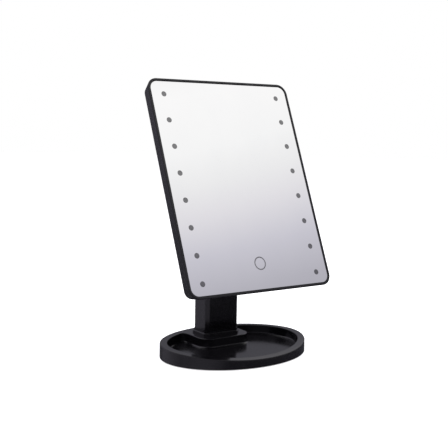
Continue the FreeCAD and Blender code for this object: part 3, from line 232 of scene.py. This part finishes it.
def bonded_foam(name):
    """Double-sided foam tape, with open pores; each pore's hollow is painted darker, as painted
    shade.
    """
    material, tree = new_material(name)
    shader = surface(tree, Roughness=0.85)
    pores = add(tree, "TexVoronoi", Scale=2400.0)
    tree.links.new(place(tree), pores.inputs["Vector"])
    distance = pores.outputs["Distance"]
    # Painted shade: the colour darkens towards each pore's centre, where the bump sinks deepest.
    tree.links.new(ramp(tree, distance, [(0.1, (0.34, 0.34, 0.33)), (0.6, (0.62, 0.62, 0.6))]),
                   shader.inputs["Base Color"])
    tree.links.new(bump(tree, distance, 0.05 * MM), shader.inputs["Normal"])
    return material


def lamp_package(name):
    """A white lamp package, yellow where the phosphor sits."""
    material, tree = new_material(name)
    shader = surface(tree, Roughness=0.35)
    grains = noise(tree, place(tree), 1500, detail=3)
    tree.links.new(ramp(tree, grains, [(0.42, (0.78, 0.76, 0.68)), (0.58, (0.74, 0.62, 0.16))]),
                   shader.inputs["Base Color"])
    tree.links.new(bump(tree, grains, 0.02 * MM), shader.inputs["Normal"])
    return material


def insulated_wire(name):
    """Wires in red and black insulation, each length of one colour, with faint ripples."""
    material, tree = new_material(name)
    shader = surface(tree)
    lengths = add(tree, "NewGeometry").outputs["Random Per Island"]
    colours = [(0.0, (0.42, 0.012, 0.01)), (0.5, (0.014, 0.014, 0.015))]
    tree.links.new(ramp(tree, lengths, colours, "CONSTANT"), shader.inputs["Base Color"])
    ripples = noise(tree, place(tree), 420, detail=2)
    tree.links.new(remap(tree, ripples, 0.3, 0.7, 0.35, 0.5), shader.inputs["Roughness"])
    tree.links.new(bump(tree, ripples, 0.05 * MM), shader.inputs["Normal"])
    return material


def cell_wrap(name):
    """Dry cells in a printed sleeve: a dark body with a coppery band, repeated cell by cell."""
    low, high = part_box("battery_cells")
    cell_length = (high[2] - low[2]) / 2
    material, tree = new_material(name)
    shader = surface(tree, Metallic=0.6, Roughness=0.3)
    split = add(tree, "SeparateXYZ")
    tree.links.new(place(tree), split.inputs[0])
    above = math_node(tree, "SUBTRACT", split.outputs["Z"], low[2])
    along = math_node(tree, "FRACT", math_node(tree, "DIVIDE", above, cell_length))
    bands = [(0.0, (0.02, 0.022, 0.03)), (0.68, (0.46, 0.2, 0.07)), (0.96, (0.5, 0.5, 0.5))]
    tree.links.new(ramp(tree, along, bands, "CONSTANT"), shader.inputs["Base Color"])
    dents = noise(tree, place(tree), 160, detail=3)
    tree.links.new(bump(tree, dents, 0.06 * MM), shader.inputs["Normal"])
    return material


def bare_copper(name):
    material, tree = new_material(name)
    shader = surface(tree, Metallic=1.0)
    tarnish = noise(tree, place(tree), 320, detail=4)
    tree.links.new(ramp(tree, tarnish, [(0.35, (0.78, 0.4, 0.24)), (0.7, (0.5, 0.25, 0.15))]),
                   shader.inputs["Base Color"])
    tree.links.new(remap(tree, tarnish, 0.3, 0.7, 0.25, 0.45), shader.inputs["Roughness"])
    tree.links.new(bump(tree, tarnish, 0.01 * MM), shader.inputs["Normal"])
    return material


MATERIALS = {
    "black_shell": moulded_plastic("satin_black_plastic", (0.0045, 0.0042, 0.0055),
                                   (0.0075, 0.007, 0.0085), 0.14, relief=0.0015 * MM,
                                   specular=0.4),
    "black_inner": moulded_plastic("matt_black_plastic", (0.012, 0.012, 0.013),
                                   (0.02, 0.02, 0.022), 0.55),
    "knob": moulded_plastic("grey_knob_plastic", (0.03, 0.03, 0.032), (0.05, 0.05, 0.052), 0.4),
    "rubber": moulded_plastic("soft_rubber", (0.02, 0.02, 0.021), (0.035, 0.035, 0.036), 0.75,
                              specular=0.3),
    "nylon": moulded_plastic("white_nylon", (0.62, 0.6, 0.56), (0.7, 0.68, 0.63), 0.4),
    "steel": brushed_steel("brushed_steel"),
    "diffuser": lamp_window("frosted_diffuser", (0.012, 0.012, 0.014), (0.03, 0.029, 0.033),
                            2.6),
    "silvering": silvered_glass("silvered_glass"),
    "tape": bonded_foam("foam_tape"),
    "board": circuit_board("white_board", (0.72, 0.72, 0.7), (0.8, 0.8, 0.78)),
    "board_green": circuit_board("green_board", (0.012, 0.11, 0.04), (0.03, 0.2, 0.08)),
    "lamps": lamp_package("lamp_packages"),
    "chips": moulded_plastic("chip_epoxy", (0.014, 0.014, 0.015), (0.022, 0.022, 0.023), 0.45),
    "copper": bare_copper("bare_copper"),
    "wire": insulated_wire("wire_insulation"),
    "cells": cell_wrap("cell_sleeves"),
}


def dress_cad_nodes():
    """Gives each CAD node the material of the slot that its record names."""
    for node in frame["nodes"].values():
        for number, slot in enumerate(node.material_slots):
            name = slot.material.name.split(".")[0] if slot.material else ""
            if name in MATERIALS:
                node.material_slots[number].material = MATERIALS[name]


# ---------------------------------------------------------------- mesh helpers

SHARP_ABOVE = math.radians(30)
CORNER_STEPS = 12


def rounded_loop(half_width, half_height, radius):
    """Points round a rounded rectangle, anticlockwise as seen with X right and Z up."""
    points = []
    for corner, (sx, sz) in enumerate(((1, 1), (-1, 1), (-1, -1), (1, -1))):
        for step in range(CORNER_STEPS + 1):
            angle = math.pi / 2 * (corner + step / CORNER_STEPS)
            points.append((sx * (half_width - radius) + radius * math.cos(angle),
                           sz * (half_height - radius) + radius * math.sin(angle)))
    return points


def round_loop(across, up, radius, steps=48):
    return [(across + radius * math.cos(2 * math.pi * step / steps),
             up + radius * math.sin(2 * math.pi * step / steps)) for step in range(steps)]


def ring_of(mesh, loop, depth):
    """One closed loop of vertices and edges at a depth."""
    vertices = [mesh.verts.new((x, depth, z)) for x, z in loop]
    edges = [mesh.edges.new((vertices[number - 1], vertices[number]))
             for number in range(len(vertices))]
    return vertices, edges


def wall_between(mesh, first, second):
    """Quads between two loops of the same count."""
    for number in range(len(first)):
        mesh.faces.new((first[number - 1], first[number], second[number], second[number - 1]))


def mesh_object(name, mesh, material):
    """Turns a bmesh in the head's axes into an object in the shared frame, with crisp edges."""
    bmesh.ops.recalc_face_normals(mesh, faces=mesh.faces)
    data = bpy.data.meshes.new(name)
    mesh.to_mesh(data)
    mesh.free()
    data.transform(HEAD_TO_WORLD)
    data.materials.append(material)
    piece = bpy.data.objects.new(name, data)
    bpy.context.scene.collection.objects.link(piece)
    data.shade_smooth()
    data.set_sharp_from_angle(angle=SHARP_ABOVE)
    return piece


def plug(mesh, outline, front, back, hole=None):
    """A solid of that outline between two depths, with or without a hole through it."""
    outer = ring_of(mesh, outline, front), ring_of(mesh, outline, back)
    wall_between(mesh, outer[0][0], outer[1][0])
    edges = [list(outer[0][1]), list(outer[1][1])]
    if hole:
        inner = ring_of(mesh, hole, front), ring_of(mesh, hole, back)
        wall_between(mesh, inner[0][0], inner[1][0])
        edges = [first + list(second[1]) for first, second in zip(edges, inner)]
    for end in edges:
        bmesh.ops.triangle_fill(mesh, use_beauty=True, use_dissolve=False, edges=end)


def sheet_with_holes(name, rings, holes, material):
    """A solid sheet. rings are (outline, depth) from front to back; the holes run right through."""
    mesh = bmesh.new()
    front_depth, back_depth = rings[0][1], rings[-1][1]
    loops = [ring_of(mesh, outline, along) for outline, along in rings]
    for (first, _), (second, _) in zip(loops, loops[1:]):
        wall_between(mesh, first, second)
    front_edges, back_edges = list(loops[0][1]), list(loops[-1][1])
    for hole in holes:
        front = ring_of(mesh, hole, front_depth)
        back = ring_of(mesh, hole, back_depth)
        wall_between(mesh, front[0], back[0])
        front_edges += front[1]
        back_edges += back[1]
    bmesh.ops.triangle_fill(mesh, use_beauty=True, use_dissolve=False, edges=front_edges)
    bmesh.ops.triangle_fill(mesh, use_beauty=True, use_dissolve=False, edges=back_edges)
    return mesh_object(name, mesh, material)


# ---------------------------------------------------------------- studio

FLOOR_RADIUS = 6
FLOOR_GLOW = 0.6
SOFTBOX_PLACE = Vector((0.0, -0.1, 1.6))
SOFTBOX_SIDE = 1.6
SOFTBOX_POWER = 26

# The room that reflections see. The ceiling's brightness follows the direction's share along
# CEILING_SLANT, from 0 straight down to 1 straight up; two soft fills stand to the left.
CEILING_SLANT = (0.25, 0, 1)
CEILING = [
    (0.0, (0.1, 0.1, 0.11)), (0.5, (0.075, 0.073, 0.09)), (0.56, (0.08, 0.078, 0.095)),
    (0.62, (0.165, 0.163, 0.18)), (0.74, (0.28, 0.275, 0.32)), (0.789, (0.455, 0.447, 0.5)),
    (0.81, (0.58, 0.57, 0.635)), (0.83, (0.755, 0.74, 0.775)), (0.845, (0.85, 0.848, 0.855)),
    (0.86, (0.93, 0.93, 0.93)), (0.885, (0.965, 0.96, 0.96)), (0.91, (0.85, 0.85, 0.86)),
    (0.96, (0.35, 0.35, 0.37)), (1.0, (0.25, 0.25, 0.27))]
REAR_FILL = {"direction": (-0.8, 0.6, 0.35), "starts": 0.54, "strength": 0.48}
SIDE_FILL = {"direction": (-0.83, -0.55, -0.1), "starts": 0.75, "strength": 0.4}
FILL_TINT = (0.98, 0.93, 1.1)

# The viewpoint: to the object's front left, a little above it, turned slightly
VIEW_AZIMUTH = math.radians(34.37)
VIEW_ELEVATION = math.radians(6.6)
VIEW_ROLL = math.radians(0.98)
VIEW_AIM = Vector((-0.0012, 0.0187, 0.128))
VIEW_DISTANCE = 0.8295
LENS = 66.37
SENSOR = 36
NEAREST_SEEN = 0.01


def studio_floor():
    material, tree = new_material("studio_floor")
    surface(tree, Base_Color=(0.9, 0.9, 0.9, 1), Roughness=0.9,
            Emission_Color=(1, 1, 1, 1), Emission_Strength=FLOOR_GLOW)
    mesh = bmesh.new()
    bmesh.ops.create_circle(mesh, cap_ends=True, segments=96, radius=FLOOR_RADIUS)
    data = bpy.data.meshes.new("studio_floor")
    mesh.to_mesh(data)
    mesh.free()
    data.materials.append(material)
    floor = bpy.data.objects.new("studio_floor", data)
    bpy.context.scene.collection.objects.link(floor)
    floor.visible_glossy = False


def share_along(tree, direction, axis):
    dot = add(tree, "VectorMath", operation="DOT_PRODUCT")
    dot.inputs[1].default_value = axis
    tree.links.new(direction, dot.inputs[0])
    return dot.outputs["Value"]


def fill_light(tree, direction, fill):
    """A soft glow round one direction."""
    along = share_along(tree, direction, fill["direction"])
    return remap(tree, along, fill["starts"], 1.0, 0.0, fill["strength"])


def reflected_room(tree):
    """The ceiling and both fills, as one background."""
    direction = add(tree, "TexCoord").outputs["Generated"]
    half = math_node(tree, "MULTIPLY", share_along(tree, direction, CEILING_SLANT), 0.5)
    ceiling = ramp(tree, math_node(tree, "ADD", half, 0.5), CEILING)
    fills = math_node(tree, "ADD", fill_light(tree, direction, REAR_FILL),
                      fill_light(tree, direction, SIDE_FILL))
    tinted = add(tree, "CombineColor")
    for channel, share in zip(tinted.inputs, FILL_TINT):
        tree.links.new(math_node(tree, "MULTIPLY", fills, share), channel)
    total = add(tree, "Mix", data_type="RGBA", blend_type="ADD")
    total.inputs["Factor"].default_value = 1
    tree.links.new(ceiling, total.inputs[6])
    tree.links.new(tinted.outputs[0], total.inputs[7])
    room = add(tree, "Background")
    tree.links.new(total.outputs[2], room.inputs["Color"])
    return room


def studio_world():
    """A white sweep to the camera, and the room to everything else."""
    world = bpy.data.worlds.new("studio")
    world.use_nodes = True
    bpy.context.scene.world = world
    tree = world.node_tree
    tree.nodes.clear()
    room = reflected_room(tree)
    sweep = add(tree, "Background", Color=(1, 1, 1, 1), Strength=1.0)
    choice = add(tree, "MixShader")
    tree.links.new(add(tree, "LightPath").outputs["Is Camera Ray"], choice.inputs[0])
    tree.links.new(room.outputs[0], choice.inputs[1])
    tree.links.new(sweep.outputs[0], choice.inputs[2])
    tree.links.new(choice.outputs[0], add(tree, "OutputWorld").inputs["Surface"])


def softbox():
    """One square light high over the part. Reflections see the world's ceiling in its stead."""
    light = bpy.data.lights.new("top_softbox", "AREA")
    light.shape = "SQUARE"
    light.size = SOFTBOX_SIDE
    light.energy = SOFTBOX_POWER
    lamp = bpy.data.objects.new("top_softbox", light)
    bpy.context.scene.collection.objects.link(lamp)
    lamp.location = SOFTBOX_PLACE
    lamp.rotation_euler = (-SOFTBOX_PLACE).to_track_quat("-Z", "Y").to_euler()
    lamp.visible_glossy = False
    lamp.visible_camera = False


def camera():
    outward = Vector((-math.sin(VIEW_AZIMUTH) * math.cos(VIEW_ELEVATION),
                      -math.cos(VIEW_AZIMUTH) * math.cos(VIEW_ELEVATION),
                      math.sin(VIEW_ELEVATION)))
    data = bpy.data.cameras.new("camera")
    data.lens = LENS
    data.sensor_width = SENSOR
    data.clip_start = NEAREST_SEEN
    eye = bpy.data.objects.new("camera", data)
    bpy.context.scene.collection.objects.link(eye)
    turned = outward.to_track_quat("Z", "Y").to_matrix().to_4x4()
    rolled = turned @ Matrix.Rotation(VIEW_ROLL, 4, "Z")
    eye.matrix_world = Matrix.Translation(VIEW_AIM + VIEW_DISTANCE * outward) @ rolled
    bpy.context.scene.camera = eye


# ---------------------------------------------------------------- what shows on the face

GLASS_CORNER = 8.1 * MM
GLASS_ARRIS = 0.25 * MM
WINDOW_RADIUS = 2.7 * MM
DIFFUSER_OVERLAP = 0.9 * MM
WINDOW_ROWS = 8
RING_RADIUS = 6.6 * MM
RING_LINE = 1.2 * MM
SHOWN_BEHIND = 0.02 * MM


def window_loops():
    """The outlines of the lamp windows: two columns, evenly spaced between the end diffusers."""
    low, high = head_box("window_diffusers")
    margin = WINDOW_RADIUS + DIFFUSER_OVERLAP
    across = high.x - margin
    top, bottom = high.z - margin, low.z + margin
    pitch = (top - bottom) / (WINDOW_ROWS - 1)
    return [round_loop(side * across, top - row * pitch, WINDOW_RADIUS)
            for side in (-1, 1) for row in range(WINDOW_ROWS)]


def ring_loop(radius):
    """A circle round the middle of the touch pad."""
    low, high = head_box("touch_electrode")
    return round_loop((low.x + high.x) / 2, (low.z + high.z) / 2, radius, 64)


def glass_outline(inset):
    """The glass's own outline, drawn in by a distance."""
    low, high = head_box("mirror_glass")
    middle = (low.z + high.z) / 2
    loop = rounded_loop((high.x - low.x) / 2 - inset, (high.z - low.z) / 2 - inset,
                        GLASS_CORNER - inset)
    return [(x, z + middle) for x, z in loop]


def finish_piece(piece, slot, *replaced):
    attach(piece, "mirror_head")
    if replaced:
        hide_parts(*replaced)


def mirror_sheet(front, back):
    """The silvered glass, open at each lamp window and inside the touch ring."""
    rings = [(glass_outline(GLASS_ARRIS), front), (glass_outline(0), front + GLASS_ARRIS),
             (glass_outline(0), back)]
    holes = window_loops() + [ring_loop(RING_RADIUS)]
    sheet = sheet_with_holes("mirror_sheet", rings, holes, MATERIALS["silvering"])
    finish_piece(sheet, "silvering", "mirror_glass", "mirror_coating")


def ring_middle(front, back):
    mesh = bmesh.new()
    plug(mesh, ring_loop(RING_RADIUS - RING_LINE), front, back)
    finish_piece(mesh_object("ring_middle", mesh, MATERIALS["silvering"]), "silvering")


def ring_line(front, back):
    mesh = bmesh.new()
    plug(mesh, ring_loop(RING_RADIUS), front + SHOWN_BEHIND, back,
         hole=ring_loop(RING_RADIUS - RING_LINE))
    clear = lamp_window("ring_line", (0.09, 0.088, 0.096), (0.14, 0.137, 0.148), 1.9)
    finish_piece(mesh_object("touch_ring_line", mesh, clear), "diffuser")


def window_panes(front):
    back = head_box("window_diffusers")[1].y
    mesh = bmesh.new()
    for loop in window_loops():
        plug(mesh, loop, front + SHOWN_BEHIND, back)
    panes = mesh_object("window_panes", mesh, MATERIALS["diffuser"])
    finish_piece(panes, "diffuser", "window_diffusers")


def face_pieces():
    front = head_box("mirror_glass")[0].y
    back = head_box("mirror_coating")[0].y
    mirror_sheet(front, back)
    ring_middle(front, back)
    ring_line(front, back)
    window_panes(front)


# ---------------------------------------------------------------- build

camera()
studio_world()
studio_floor()
softbox()
dress_cad_nodes()
face_pieces()

bpy.context.scene.view_settings.view_transform = "Standard"
